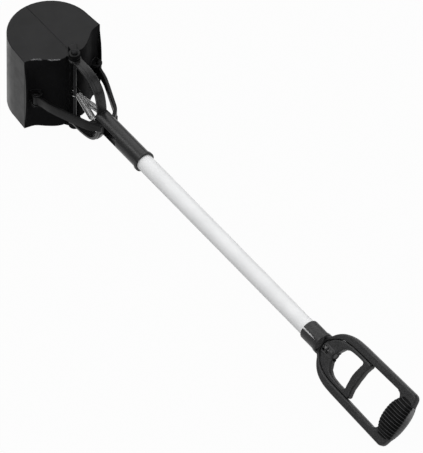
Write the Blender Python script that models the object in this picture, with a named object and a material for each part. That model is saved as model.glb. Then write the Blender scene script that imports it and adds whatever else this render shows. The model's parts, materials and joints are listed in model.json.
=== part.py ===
"""Spring-action jaw scooper: two half-drum jaws on one hinge pin, a one-inch pole, and a squeeze handle
whose pull rod slides a wishbone that swings both jaws. Metres, +Z up, lying on the floor.

The parts are drawn in the pole's frame: +X along the pole to the handle, Y across the two jaws, Z along
the jaws' hinge pin, and the origin on that pin. One empty then lays the whole tool on the floor.
"""

import math

import bmesh
import bpy
from mathutils import Matrix, Vector

# Jaws
DRUM_RADIUS = 0.0635
DRUM_SETBACK = 0.057
JAW_HEIGHT = 0.135
JAW_WALL = 0.0024
JAW_EDGE = 0.0008
SEAM_GAP = 0.0006
POLE_DROP = 0.004
REAR_CORNER_SETBACK = 0.0303
REAR_CORNER_HALF_WIDTH = 0.0656
CHANNEL_RADIUS = 0.0115
CHANNEL_MOUTH_ANGLE = math.radians(115)
REAR_WALL_SHARES = (
    (0.0, 0.0), (0.26, -0.05), (0.5, 0.01), (0.72, 0.055), (0.89, 0.05), (1.0, 0.0),
)
LIP_BOW = 0.005
LIP_THICKNESS = 0.0036
LIP_HEIGHT_SHARE = 0.92
LIP_SHOULDER_SHARE = 0.78
LIP_SUNK_SHARE = 0.2

# Hinge knuckles and pin
EAR_RADIUS = 0.0085
RAISED_EAR_HEIGHT = 0.006
LEVEL_EAR_HEIGHT = 0.0033
EAR_TAB_LENGTH = 0.016
EAR_TAB_SPREAD_SHARE = 0.85
EAR_SHOULDER_SHARE = 0.9
TAB_CORNER_SHARE = 0.8
TAB_ROUND_SHARE = 0.2
EAR_ROOT_MARGIN = 0.00015
RUNNING_GAP = 0.0004
PIN_DIAMETER = 0.006
PIN_CLEARANCE = 0.0003
PIN_HEAD_DIAMETER = 0.0098
PIN_HEAD_HEIGHT = 0.003
RETAINER_DIAMETER = 0.0098
RETAINER_THICKNESS = 0.0014
PIN_TAIL = 0.001

# Lugs and link pins that swing the jaws
LINK_PIN_SETBACK = 0.018
LINK_PIN_REACH = 0.054
LINK_PIN_DIAMETER = 0.004
LINK_HEAD_DIAMETER = 0.007
LINK_HEAD_HEIGHT = 0.0014
SLOT_CLEARANCE = 0.0005
LUG_THICKNESS = 0.003
LUG_MARGIN = 0.0032
LUG_ROOT_LENGTH = 0.011
LUG_ROOT_HALF_WIDTH = 0.0085

# Fixed fork and its sleeve on the pole
EYE_RADIUS = 0.0095
EYE_THICKNESS = 0.0046
STRAP_WIDTH = 0.0155
STRAP_THICKNESS = 0.0046
STRAP_EDGE = 0.001
STRAP_RIB_WIDTH = 0.005
STRAP_RIB_HEIGHT = 0.001
SLEEVE_FRONT = 0.065
SLEEVE_END = 0.171
SLEEVE_DIAMETER = 0.029
SLEEVE_RIM = 0.0016
SLEEVE_RIM_LENGTH = 0.004
ARCH_SHARES = (
    (0.0, 1.0), (0.147, 1.0), (0.30, 1.0), (0.45, 0.985), (0.62, 0.945),
    (0.74, 0.89), (0.85, 0.80), (0.94, 0.66), (1.0, 0.44), (1.03, 0.17),
)
RIDGE_START = 4

# Pole, pull rod and bushes
TUBE_DIAMETER = 0.0254
TUBE_WALL = 0.0012
TUBE_FRONT = 0.1205
TUBE_FIT = 0.0003
ROD_DIAMETER = 0.0076
ROD_FIT = 0.0003
BUSH_LENGTH = 0.012
FRONT_BUSH_PLACE = 0.1255
REAR_BUSH_PLACE = 0.56
RIVET_DIAMETER = 0.0032
RIVET_HEAD_DIAMETER = 0.007
RIVET_HEAD_HEIGHT = 0.0014
RIVET_TAIL = 0.0016
HEAD_RIVET_PLACE = 0.148
HANDLE_RIVET_PLACE = 0.586

# Drive wishbone
TRAVEL = 0.0314
YOKE_HEIGHT = 0.016
YOKE_THICKNESS = 0.005
YOKE_EYE_RADIUS = 0.0046
YOKE_HUB_FRONT = 0.076
YOKE_HUB_LENGTH = 0.011
YOKE_HUB_HALF_WIDTH = 0.0125
ELBOW_PLACE = 0.0705
ELBOW_HALF_WIDTH = 0.0225
YOKE_PATH_SHARES = ((0.0, 0.0), (0.125, 0.12), (0.33, 0.25), (0.735, 0.70), (0.95, 0.955))
ARM_ROOT_SHARE = 0.7
ROD_PIN_DIAMETER = 0.003

# Tension springs
SPRING_DIAMETER = 0.0100
SPRING_WIRE = 0.0013
SPRING_CURLS = 24
SPRING_LEVEL = 0.0056
SPRING_ANCHOR_PLACE = 0.0705
SPRING_ANCHOR_OFFSET = 0.0148
HOOK_BEND = 0.0018
PIN_HOOK_NECK = 0.0125
YOKE_HOOK_NECK = 0.0026
WEB_THICKNESS = 0.0028
WEB_BAR = 0.003
CURL_POINTS = 8
HOOK_POINTS = 7
BEND_POINTS = 3
HOOK_SWEEP = math.radians(200)

# Handle, in the plane that leans over by HANDLE_ROLL about the pole
HANDLE_ROLL = math.radians(45)
SOCKET_FRONT = 0.568
SOCKET_DIAMETER = 0.0306
SOCKET_FLOOR = 0.599
SOCKET_SLOT_WIDTH = 0.0035
SOCKET_COLLAR_DIAMETER = 0.033
SOCKET_COLLAR_LENGTH = 0.005
FRAME_FRONT = 0.598
SHOULDER_LENGTH = 0.067
FRAME_HALF_WIDTH = 0.0425
FRAME_FLARE = 0.0024
FRAME_THICKNESS = 0.012
FRAME_EDGE = 0.003
RAIL_WIDTH = 0.0124
GRIP_INNER_PLACE = 0.764
GRIP_OUTER_PLACE = 0.786
GRIP_BOW = 0.0085
FRAME_CORNER_RADIUS = 0.009
WINDOW_CORNER_RADIUS = 0.0032
OUTER_SHOULDER_SHARES = (
    (0.0, 0.31), (0.134, 0.40), (0.22, 0.57), (0.33, 0.735), (0.48, 0.87), (0.70, 0.965), (1.0, 1.0),
)
INNER_SHOULDER_SHARES = (
    (0.115, 0.29), (0.21, 0.48), (0.33, 0.705), (0.51, 0.885), (0.746, 0.975), (1.0, 1.0),
)
GRIP_THICKNESS = 0.029
GRIP_WALL = 0.0035
GRIP_FRONT_BOW = 0.006
GRIP_TAPER_SHARE = 0.1
GRIP_SQUARENESS = 2.6
GRIP_PALM_SHARE = 0.45
GRIP_RIBS = 9
GRIP_RIB_DEPTH = 0.0012
GRIP_FIT = 0.0004
GRIP_SIDES = 20

# Trigger
TRIGGER_GAP = 0.0009
TRIGGER_THICKNESS = 0.012
TRIGGER_EDGE = 0.0028
TRIGGER_ARM = 0.006
TRIGGER_BAR_END = 0.6955
TRIGGER_BAR_WIDTH = 0.0138
TRIGGER_BAR_BOW = 0.006
TRIGGER_HUB_END = 0.631
TRIGGER_HUB_HALF_WIDTH = 0.0105
TRIGGER_HUB_THICKNESS = 0.019
TRIGGER_CORNER_SHARE = 0.14
TRIGGER_MOUTH_SHARES = ((1.0, 0.73), (2.6, 0.93))
HUB_NOSE_SHARE = 0.8
BOW_SHARES = (0.75, 0.5, 0.25)
HUB_WINDOW_WIDTH = 0.009
HUB_WINDOW_SHARES = ((0.16, 0.38), (0.50, 0.66))
NUT_WIDTH = 0.0125
NUT_THICKNESS = 0.0045
WASHER_DIAMETER = 0.0136
WASHER_THICKNESS = 0.0012
NUT_POCKET_CLEARANCE = 0.0006
SEAT_GAP = 0.0003

# Drawing values
OVERRUN = 0.004
ROUND_SIDES = 28
SMALL_SIDES = 16
ARC_STEP = math.radians(20)
DRUM_STEP = math.radians(7.5)
WELD = 0.000002
MITRE_LIMIT = 0.5
DOME_SHOULDER_SHARE = 0.87
DOME_RIM_SHARE = 0.55

BLACK_PLASTIC = (0.022, 0.022, 0.024, 1.0)
WHITE_TUBE = (0.80, 0.81, 0.82, 1.0)
STEEL = (0.52, 0.52, 0.53, 1.0)

# Worked out from the sizes above
PLATE_TOP = JAW_HEIGHT / 2
RAISED_EAR_LOW = PLATE_TOP + RUNNING_GAP
RAISED_EAR_TOP = RAISED_EAR_LOW + RAISED_EAR_HEIGHT
LEVEL_EAR_LOW = PLATE_TOP - LEVEL_EAR_HEIGHT
EYE_TOP = LEVEL_EAR_LOW - RUNNING_GAP
EYE_MIDDLE = EYE_TOP - EYE_THICKNESS / 2
PIN_BORE_RADIUS = PIN_DIAMETER / 2 + PIN_CLEARANCE
TUBE_RADIUS = TUBE_DIAMETER / 2
TUBE_BORE_RADIUS = TUBE_RADIUS - TUBE_WALL
TUBE_END = SOCKET_FLOOR - SEAT_GAP
ROD_RADIUS = ROD_DIAMETER / 2
YOKE_HALF_HEIGHT = YOKE_HEIGHT / 2
LUG_LOW = YOKE_HALF_HEIGHT + RUNNING_GAP
LUG_TOP = LUG_LOW + LUG_THICKNESS
YOKE_HUB_END = YOKE_HUB_FRONT + YOKE_HUB_LENGTH
SPRING_RADIUS = (SPRING_DIAMETER - SPRING_WIRE) / 2
INNER_HALF_WIDTH = FRAME_HALF_WIDTH - RAIL_WIDTH
FRAME_SHOULDER = FRAME_FRONT + SHOULDER_LENGTH
WINDOW_FRONT = FRAME_FRONT + SHOULDER_LENGTH * INNER_SHOULDER_SHARES[0][0]
TRIGGER_BAR_FRONT = TRIGGER_BAR_END - TRIGGER_BAR_WIDTH


def material(name, colour, roughness, metallic=0.0):
    made = bpy.data.materials.new(name)
    made.use_nodes = True
    shader = made.node_tree.nodes["Principled BSDF"]
    shader.inputs["Base Color"].default_value = colour
    shader.inputs["Roughness"].default_value = roughness
    shader.inputs["Metallic"].default_value = metallic
    return made


# Plane outlines

def arc(centre, radius, start, end, step=ARC_STEP):
    """Points along a circle from one angle to another."""
    steps = max(2, math.ceil(abs(end - start) / step))
    turns = [start + (end - start) * i / steps for i in range(steps + 1)]
    return [Vector((centre[0] + radius * math.cos(t), centre[1] + radius * math.sin(t))) for t in turns]


def curve_through(points, steps=3):
    """A smooth curve through the given points."""
    points = [Vector(p) for p in points]
    ends = [points[0] * 2 - points[1]] + points + [points[-1] * 2 - points[-2]]
    made = []
    for a, b, c, d in zip(ends, ends[1:], ends[2:], ends[3:]):
        for i in range(steps):
            t = i / steps
            bend = (a * 2 - b * 5 + c * 4 - d) * t**2 + (b * 3 - a - c * 3 + d) * t**3
            made.append(b + ((c - a) * t + bend) / 2)
    return made + [points[-1]]


def rounded(corners, closed=True):
    """An outline from corners of (x, y, radius), each turned by a fillet of that radius."""
    made = []
    count = len(corners)
    for i, (x, y, radius) in enumerate(corners):
        here = Vector((x, y))
        if radius == 0 or (not closed and i in (0, count - 1)):
            made.append(here)
            continue
        before = (Vector(corners[i - 1][:2]) - here).normalized()
        after = (Vector(corners[(i + 1) % count][:2]) - here).normalized()
        half_turn = before.angle(after) / 2
        middle = here + (before + after).normalized() * radius / math.sin(half_turn)
        reach = radius / math.tan(half_turn)
        first = here + before * reach - middle
        last = here + after * reach - middle
        start = math.atan2(first.y, first.x)
        turn = math.atan2(first.cross(last), first.dot(last))
        made += arc(middle, radius, start, start + turn)
    return made


def shifted(points, distance, closed=True):
    """The outline moved to its right by a distance, which is outward when it runs anticlockwise."""
    made = []
    count = len(points)
    for i, here in enumerate(points):
        before = points[i - 1] if closed or i else None
        after = points[(i + 1) % count] if closed or i < count - 1 else None
        first = (here - before).normalized() if before is not None else (after - here).normalized()
        second = (after - here).normalized() if after is not None else first
        middle = (first + second).normalized()
        stretch = max(middle.dot(first), MITRE_LIMIT)
        made.append(here + Vector((middle.y, -middle.x)) * distance / stretch)
    return made


def mirrored(half):
    """A closed outline from its half at y > 0, given from one end of the middle line to the other."""
    other = [Vector((p.x, -p.y)) for p in reversed(half) if p.y > 0]
    return list(reversed(half + other))


def ribbon(points, thickness):
    """The outline of a strip of even thickness along a centre line."""
    one = shifted(points, thickness / 2, closed=False)
    other = shifted(points, -thickness / 2, closed=False)
    return one + list(reversed(other))


# Solids

def solid(name, build):
    mesh = bpy.data.meshes.new(name)
    shape = bmesh.new()
    build(shape)
    bmesh.ops.recalc_face_normals(shape, faces=shape.faces)
    shape.to_mesh(mesh)
    shape.free()
    made = bpy.data.objects.new(name, mesh)
    bpy.context.scene.collection.objects.link(made)
    return made


def skin(shape, rings):
    """Closes a row of point rings into one skin with a flat face at each end."""
    rows = [[shape.verts.new(point) for point in ring] for ring in rings]
    for low, high in zip(rows, rows[1:]):
        for i in range(len(low)):
            j = (i + 1) % len(low)
            shape.faces.new((low[i], low[j], high[j], high[i]))
    shape.faces.new(list(reversed(rows[0])))
    shape.faces.new(rows[-1])


def prism(outline, low, high, edge=0.0, steps=1):
    """A flat piece of an anticlockwise outline. An edge above zero rounds its rims, one below flares them."""
    levels = [(low, 0.0), (high, 0.0)]
    if edge:
        size = abs(edge)
        turns = [math.pi / 2 * i / steps for i in range(steps + 1)]
        inward = [1 - math.sin(t) for t in turns]
        rise = [1 - math.cos(t) for t in turns]
        sign = -1 if edge > 0 else 1
        bottom = [(low + size * r, sign * size * n) for r, n in zip(rise, inward)]
        top = [(high - size * r, sign * size * n) for r, n in reversed(list(zip(rise, inward)))]
        levels = bottom + top
        if edge < 0:
            levels = [(low - OVERRUN, size)] + levels + [(high + OVERRUN, size)]
    rings = [[(p.x, p.y, z) for p in shifted(outline, out)] for z, out in levels]
    return solid("prism", lambda shape: skin(shape, rings))


def turned(profile, sides=ROUND_SIDES):
    """A piece turned about the X axis from a closed profile of (x, radius) points off the axis."""
    def build(shape):
        ring = [shape.verts.new((x, 0, radius)) for x, radius in profile]
        edges = [shape.edges.new(pair) for pair in zip(ring, ring[1:] + ring[:1])]
        bmesh.ops.spin(
            shape, geom=ring + edges, axis=(1, 0, 0), cent=(0, 0, 0), angle=math.tau, steps=sides,
            use_merge=True, use_duplicate=False,
        )
    return solid("turned", build)


def bar(stations, sides=SMALL_SIDES):
    """A solid round piece along X from its (x, radius) stations."""
    turns = [math.tau * i / sides for i in range(sides)]
    rings = [[(x, radius * math.cos(t), radius * math.sin(t)) for t in turns] for x, radius in stations]
    return solid("bar", lambda shape: skin(shape, rings))


def shaft(start, end, radius, sides=SMALL_SIDES, crown=0.0):
    """A straight round bar along X whose far end may be crowned."""
    stations = [(start, radius), (end, radius)]
    if crown:
        stations = [
            (start, radius), (end - crown, radius), (end - crown / 3, radius * DOME_SHOULDER_SHARE),
            (end, radius * DOME_RIM_SHARE),
        ]
    return bar(stations, sides)


def moved(item, matrix):
    item.data.transform(matrix)
    if matrix.determinant() < 0:
        item.data.flip_normals()
    return item


UPRIGHT = Matrix.Rotation(-math.pi / 2, 4, "Y")
SIDEWAYS = Matrix.Rotation(math.pi / 2, 4, "X")
OVER = Matrix.Rotation(math.pi, 4, "X")
HANDLE_TURN = Matrix.Rotation(HANDLE_ROLL, 4, "X")


def upright(x, y, low, high, radius, sides=SMALL_SIDES, crown=0.0):
    """A round bar along Z."""
    return moved(shaft(low, high, radius, sides, crown), Matrix.Translation((x, y, 0)) @ UPRIGHT)


def combine(base, operation, others):
    for other in others:
        modifier = base.modifiers.new("combine", "BOOLEAN")
        modifier.operation = operation
        modifier.solver = "EXACT"
        modifier.object = other
        bpy.context.view_layer.update()
        evaluated = base.evaluated_get(bpy.context.evaluated_depsgraph_get())
        mesh = bpy.data.meshes.new_from_object(evaluated)
        base.modifiers.clear()
        base.data = mesh
        bpy.data.objects.remove(other)
    return base


def join(base, *others):
    return combine(base, "UNION", others)


def cut(base, *cutters):
    return combine(base, "DIFFERENCE", cutters)


def copy_of(item):
    made = item.copy()
    made.data = item.data.copy()
    bpy.context.scene.collection.objects.link(made)
    return made


def finished(item, name, surface, parent, smooth_angle=math.radians(35)):
    """Names the piece, gives it its surface and hangs it on the empty of its joint."""
    shape = bmesh.new()
    shape.from_mesh(item.data)
    bmesh.ops.remove_doubles(shape, verts=shape.verts, dist=WELD)
    bmesh.ops.dissolve_degenerate(shape, edges=shape.edges, dist=WELD)
    shape.to_mesh(item.data)
    shape.free()
    item.name = name
    item.data.name = name
    item.data.materials.clear()
    item.data.materials.append(surface)
    item.data.shade_smooth()
    item.data.set_sharp_from_angle(angle=smooth_angle)
    item.data.transform(Matrix.Translation(-parent.location))
    item.parent = parent
    return item


# Jaws

def rear_wall():
    """The S-shaped rear wall, from the outer corner to the mouth of the hinge channel."""
    corner = Vector((-REAR_CORNER_SETBACK, REAR_CORNER_HALF_WIDTH))
    mouth = CHANNEL_RADIUS * Vector((math.cos(CHANNEL_MOUTH_ANGLE), math.sin(CHANNEL_MOUTH_ANGLE)))
    along = mouth - corner
    out = Vector((-along.y, along.x))
    return curve_through([corner + along * a + out * b for a, b in REAR_WALL_SHARES])


def jaw_outline():
    """The right jaw seen from above, clockwise from its tip on the seam to the hinge channel."""
    drum = arc((-DRUM_SETBACK, 0), DRUM_RADIUS, math.pi - SEAM_GAP / DRUM_RADIUS, math.pi / 2, DRUM_STEP)
    seam_angle = math.pi - SEAM_GAP / 2 / CHANNEL_RADIUS
    channel = arc((0, 0), CHANNEL_RADIUS, CHANNEL_MOUTH_ANGLE, seam_angle)
    path = drum + rear_wall() + channel[1:]
    for end in (0, -1):
        path[end].y = SEAM_GAP / 2
    return path


def ear_tab(spread):
    """The outline of the tab that roots a hinge ear in its jaw's plate."""
    reach = EAR_TAB_LENGTH
    side = EAR_RADIUS * EAR_SHOULDER_SHARE
    return rounded([
        (-reach, SEAM_GAP / 2, 0), (0, SEAM_GAP / 2, 0), (0, EAR_RADIUS / 2, 0), (-side / 2, side, 0),
        (-reach * TAB_CORNER_SHARE, reach * spread, reach * TAB_ROUND_SHARE),
        (-reach, reach * spread, reach * TAB_ROUND_SHARE / 2),
    ])


def ear(low, high, edge):
    """A hinge ear at the pin with its tab."""
    disc = prism(arc((0, 0), EAR_RADIUS, 0, math.tau)[:-1], low, high, edge)
    return join(disc, prism(ear_tab(EAR_TAB_SPREAD_SHARE), low, high, edge))


def ear_root():
    """The foot that carries the raised ear's tab down into the plate, clear of the hinge channel."""
    low, high = PLATE_TOP - JAW_WALL / 2, RAISED_EAR_LOW + RAISED_EAR_HEIGHT / 2
    foot = prism(shifted(ear_tab(EAR_TAB_SPREAD_SHARE), EAR_ROOT_MARGIN), low, high)
    channel = CHANNEL_RADIUS - EAR_ROOT_MARGIN
    return cut(foot, upright(0, 0, low - OVERRUN, high + OVERRUN, channel, ROUND_SIDES))


def link_angle(slide):
    return math.atan2(LINK_PIN_REACH, slide - LINK_PIN_SETBACK)


def lug():
    """One ear of the clevis that the wishbone's pin works in, with its radial slot."""
    rest = math.hypot(LINK_PIN_SETBACK, LINK_PIN_REACH)
    bore = LINK_PIN_DIAMETER / 2 + SLOT_CLEARANCE
    nearest = LINK_PIN_REACH
    angle = link_angle(0)
    size = bore + LUG_MARGIN
    along = Vector((math.cos(angle), math.sin(angle)))
    across = Vector((-along.y, along.x))
    low, high = along * nearest, along * rest
    root = (low + high) / 2 + across * (size + LUG_ROOT_LENGTH)
    outline = arc(low, size, angle - math.pi, angle - math.pi / 2)
    outline += arc(high, size, angle - math.pi / 2, angle)
    outline += [root + along * LUG_ROOT_HALF_WIDTH, root - along * LUG_ROOT_HALF_WIDTH]
    slot = arc(low, bore, angle - math.pi * 1.5, angle - math.pi / 2) + arc(
        high, bore, angle - math.pi / 2, angle + math.pi / 2
    )
    return outline, slot


def jaw(lug_level):
    """The right-hand jaw: a half drum open on the seam, with its lugs at the given height over its middle."""
    path = jaw_outline()
    body = prism(list(reversed(path)), -PLATE_TOP, PLATE_TOP, JAW_EDGE)

    # rear lip, bowed towards the handle at mid height
    wall_start = Vector((-DRUM_SETBACK, DRUM_RADIUS))
    corner = Vector((-REAR_CORNER_SETBACK, REAR_CORNER_HALF_WIDTH))
    slope = math.atan2(corner.y - wall_start.y, corner.x - wall_start.x)
    half_height = PLATE_TOP * LIP_HEIGHT_SHARE
    shallow = LIP_BOW * LIP_SHOULDER_SHARE
    bow = curve_through([
        (0, -half_height), (shallow, -half_height / 2), (LIP_BOW, 0), (shallow, half_height / 2),
        (0, half_height),
    ])
    back = -LIP_THICKNESS * 2
    sunk = JAW_EDGE * LIP_SUNK_SHARE
    ends = [Vector((back, half_height)), Vector((back, -half_height))]
    lip = prism(bow + ends, sunk, LIP_THICKNESS, JAW_EDGE)
    place = Matrix.Translation((corner.x, corner.y, 0)) @ Matrix.Rotation(slope, 4, "Z") @ SIDEWAYS
    body = join(body, moved(lip, place))

    lug_outline, slot = lug()
    ears = [
        ear(RAISED_EAR_LOW, RAISED_EAR_TOP, JAW_EDGE), ear_root(), ear(-PLATE_TOP, -LEVEL_EAR_LOW, 0.0),
    ]
    lugs = [
        prism(lug_outline, lug_level + LUG_LOW, lug_level + LUG_TOP),
        prism(lug_outline, lug_level - LUG_TOP, lug_level - LUG_LOW),
    ]
    body = join(body, *ears, *lugs)

    inner = shifted(path, JAW_WALL, closed=False)
    inner[0] = Vector((inner[0].x, -OVERRUN))
    inner[-1] = Vector((inner[-1].x, -OVERRUN))
    inner_top = PLATE_TOP - JAW_WALL
    cavity = prism(list(reversed(inner)), -inner_top, inner_top)
    bore = upright(0, 0, -RAISED_EAR_TOP - OVERRUN, RAISED_EAR_TOP + OVERRUN, PIN_BORE_RADIUS)
    slots = prism(slot, lug_level - LUG_TOP - OVERRUN, lug_level + LUG_TOP + OVERRUN)
    return cut(body, cavity, bore, slots)


# Fork, pole and rod

def fork_arm(height):
    """One arched strap with its ridge and the eye that it ends in, at the given height over the pole."""
    path = curve_through([(SLEEVE_FRONT * a, height * b) for a, b in ARCH_SHARES])
    half_width = STRAP_WIDTH / 2
    strap = prism(ribbon(path, STRAP_THICKNESS), -half_width, half_width, STRAP_EDGE)
    ridge_path = shifted(path, -STRAP_THICKNESS / 2, closed=False)[RIDGE_START:-RIDGE_START]
    ridge = prism(ribbon(ridge_path, STRAP_RIB_HEIGHT * 2), -STRAP_RIB_WIDTH / 2, STRAP_RIB_WIDTH / 2)
    half_eye = EYE_THICKNESS / 2
    eye = prism(arc((0, 0), EYE_RADIUS, 0, math.tau)[:-1], height - half_eye, height + half_eye, STRAP_EDGE)
    return join(moved(join(strap, ridge), SIDEWAYS), eye)


def head_fork():
    """The fixed moulding: two arched straps from the hinge eyes to the sleeve on the pole."""
    top = fork_arm(EYE_MIDDLE + POLE_DROP)
    bottom = moved(fork_arm(EYE_MIDDLE - POLE_DROP), OVER)

    outer = SLEEVE_DIAMETER / 2
    inner = TUBE_RADIUS + TUBE_FIT
    rim_start = SLEEVE_END - SLEEVE_RIM_LENGTH
    rim = outer + SLEEVE_RIM
    stations = [(SLEEVE_FRONT, outer), (rim_start, outer), (rim_start, rim), (SLEEVE_END, rim)]
    sleeve = bar(stations, ROUND_SIDES)
    fork = join(sleeve, top, bottom)

    slot_end = YOKE_HUB_END + TRAVEL + SEAM_GAP * 2
    slot_half = YOKE_HALF_HEIGHT + SEAM_GAP
    slot_start = SLEEVE_FRONT - OVERRUN
    side = [
        (slot_start, -slot_half, 0), (slot_end, -slot_half, slot_half / 2),
        (slot_end, slot_half, slot_half / 2), (slot_start, slot_half, 0),
    ]
    slots = moved(prism(rounded(side), -SLEEVE_DIAMETER, SLEEVE_DIAMETER), SIDEWAYS)
    bore = shaft(SLEEVE_FRONT - STRAP_THICKNESS - OVERRUN, SLEEVE_END + OVERRUN, inner, ROUND_SIDES)
    reach = EYE_TOP + POLE_DROP + OVERRUN
    pin_bore = upright(0, 0, -reach, reach, PIN_BORE_RADIUS)
    rivet_bore = upright(HEAD_RIVET_PLACE, 0, -outer - OVERRUN, 0, RIVET_DIAMETER / 2 + SEAT_GAP)
    return cut(fork, slots, bore, pin_bore, rivet_bore)


def pole_tube():
    tube = turned([
        (TUBE_FRONT, TUBE_BORE_RADIUS), (TUBE_FRONT, TUBE_RADIUS), (TUBE_END, TUBE_RADIUS),
        (TUBE_END, TUBE_BORE_RADIUS),
    ], sides=ROUND_SIDES)
    bore = RIVET_DIAMETER / 2 + SEAT_GAP
    head_hole = upright(HEAD_RIVET_PLACE, 0, -TUBE_DIAMETER, 0, bore)
    handle_hole = moved(upright(HANDLE_RIVET_PLACE, 0, -TUBE_DIAMETER, 0, bore), HANDLE_TURN)
    return cut(tube, head_hole, handle_hole)


def rivet(place, seat_radius):
    """A blind rivet pointing down: its shank goes in through the wall and swells inside the tube."""
    head = RIVET_HEAD_DIAMETER / 2
    shank = RIVET_DIAMETER / 2
    low = seat_radius + SEAT_GAP
    inside = TUBE_BORE_RADIUS - SEAT_GAP
    stations = [
        (-inside + RIVET_TAIL, shank * DOME_RIM_SHARE), (-inside + RIVET_TAIL / 2, shank),
        (-low, shank), (-low, head),
        (-low - RIVET_HEAD_HEIGHT / 2, head * DOME_SHOULDER_SHARE),
        (-low - RIVET_HEAD_HEIGHT, head * DOME_RIM_SHARE),
    ]
    rings = []
    for z, radius in reversed(stations):
        turns = [math.tau * i / SMALL_SIDES for i in range(SMALL_SIDES)]
        rings.append([(place + radius * math.cos(t), radius * math.sin(t), z) for t in turns])
    return solid("rivet", lambda shape: skin(shape, rings))


def rod_guide(place):
    outer = TUBE_BORE_RADIUS - TUBE_FIT
    inner = ROD_RADIUS + ROD_FIT
    end = place + BUSH_LENGTH
    return turned([(place, inner), (place, outer), (end, outer), (end, inner)])


def hinge_pin():
    """The long pin with its round head on top."""
    bottom = RAISED_EAR_TOP + SEAT_GAP * 2 + RETAINER_THICKNESS + PIN_TAIL
    head_low = RAISED_EAR_TOP + SEAT_GAP
    radius = PIN_DIAMETER / 2
    shank = upright(0, 0, -bottom, head_low + PIN_HEAD_HEIGHT / 2, radius)
    head_top = head_low + PIN_HEAD_HEIGHT
    head = upright(0, 0, head_low, head_top, PIN_HEAD_DIAMETER / 2, ROUND_SIDES, PIN_HEAD_HEIGHT / 2)
    return join(shank, head)


def ring(low, thickness, outer, inner):
    """A flat push-on ring about the Z axis."""
    high = low + thickness
    made = turned([(low, inner), (low, outer), (high, outer), (high, inner)], SMALL_SIDES)
    return moved(made, UPRIGHT)


# Wishbone and its pins

def drive_yoke():
    """One moulding: two arms from the link pins to the hub that the pull rod draws."""
    span_x = ELBOW_PLACE + LINK_PIN_SETBACK
    span_y = LINK_PIN_REACH - ELBOW_HALF_WIDTH
    places = [(-LINK_PIN_SETBACK + a * span_x, LINK_PIN_REACH - b * span_y) for a, b in YOKE_PATH_SHARES]
    path = curve_through(places + [(ELBOW_PLACE + YOKE_THICKNESS / 2, ELBOW_HALF_WIDTH - YOKE_THICKNESS)])
    path.append(Vector((YOKE_HUB_FRONT + YOKE_HUB_LENGTH / 2, YOKE_HUB_HALF_WIDTH * ARM_ROOT_SHARE)))
    arm = prism(ribbon(path, YOKE_THICKNESS), -YOKE_HALF_HEIGHT, YOKE_HALF_HEIGHT, STRAP_EDGE)
    eye_outline = arc((-LINK_PIN_SETBACK, LINK_PIN_REACH), YOKE_EYE_RADIUS, 0, math.tau)[:-1]
    arm = join(arm, prism(eye_outline, -YOKE_HALF_HEIGHT, YOKE_HALF_HEIGHT, STRAP_EDGE))
    other = moved(copy_of(arm), Matrix.Scale(-1, 4, (0, 1, 0)))

    hub = prism(rounded([
        (YOKE_HUB_FRONT, -YOKE_HUB_HALF_WIDTH, YOKE_THICKNESS / 2),
        (YOKE_HUB_END, -YOKE_HUB_HALF_WIDTH, YOKE_THICKNESS / 2),
        (YOKE_HUB_END, YOKE_HUB_HALF_WIDTH, YOKE_THICKNESS / 2),
        (YOKE_HUB_FRONT, YOKE_HUB_HALF_WIDTH, YOKE_THICKNESS / 2),
    ]), -YOKE_HALF_HEIGHT, YOKE_HALF_HEIGHT, STRAP_EDGE)

    hole_radius = SPRING_WIRE / 2 + SEAT_GAP * 2
    free_edge = SPRING_ANCHOR_PLACE - hole_radius - WEB_BAR
    webs, holes = [], []
    for side in (1, -1):
        level = -side * SPRING_LEVEL
        outline = rounded([
            (free_edge, side * (SPRING_ANCHOR_OFFSET - WEB_BAR * 2), WEB_BAR / 2),
            (YOKE_HUB_END - WEB_BAR, side * (SPRING_ANCHOR_OFFSET - WEB_BAR * 2), 0),
            (YOKE_HUB_END - WEB_BAR, side * SPRING_ANCHOR_OFFSET, 0),
            (free_edge + WEB_BAR * 2, side * (SPRING_ANCHOR_OFFSET + WEB_BAR * 3), 0),
            (free_edge, side * (SPRING_ANCHOR_OFFSET + WEB_BAR * 3), 0),
        ])
        if side < 0:
            outline.reverse()
        webs.append(prism(outline, level - WEB_THICKNESS / 2, level + WEB_THICKNESS / 2))
        x, y = SPRING_ANCHOR_PLACE, side * SPRING_ANCHOR_OFFSET
        holes.append(upright(x, y, level - WEB_THICKNESS, level + WEB_THICKNESS, hole_radius, CURL_POINTS))
    yoke = join(hub, arm, other, *webs)

    rod_bore = shaft(YOKE_HUB_FRONT - OVERRUN, YOKE_HUB_END + OVERRUN, ROD_RADIUS + ROD_FIT)
    pin_place = YOKE_HUB_FRONT + YOKE_HUB_LENGTH / 2
    cross_bore = upright(pin_place, 0, -YOKE_HEIGHT, YOKE_HEIGHT, ROD_PIN_DIAMETER / 2 + SEAT_GAP)
    eye_bore = LINK_PIN_DIAMETER / 2 + SEAT_GAP
    eye_bores = [
        upright(-LINK_PIN_SETBACK, side * LINK_PIN_REACH, -YOKE_HEIGHT, YOKE_HEIGHT, eye_bore)
        for side in (1, -1)
    ]
    return cut(yoke, rod_bore, cross_bore, *eye_bores, *holes)


def link_pin(side):
    """A headed pin through the arm's eye and both slotted lugs."""
    radius = LINK_PIN_DIAMETER / 2
    seat = LUG_TOP + SEAT_GAP
    bottom = seat + LINK_HEAD_HEIGHT + SEAT_GAP * 2
    x, y = -LINK_PIN_SETBACK, side * LINK_PIN_REACH
    shank = upright(x, y, -bottom, seat + LINK_HEAD_HEIGHT / 2, radius)
    top = seat + LINK_HEAD_HEIGHT
    head = upright(x, y, seat, top, LINK_HEAD_DIAMETER / 2, crown=LINK_HEAD_HEIGHT / 2)
    return join(shank, head)


# Springs

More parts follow.
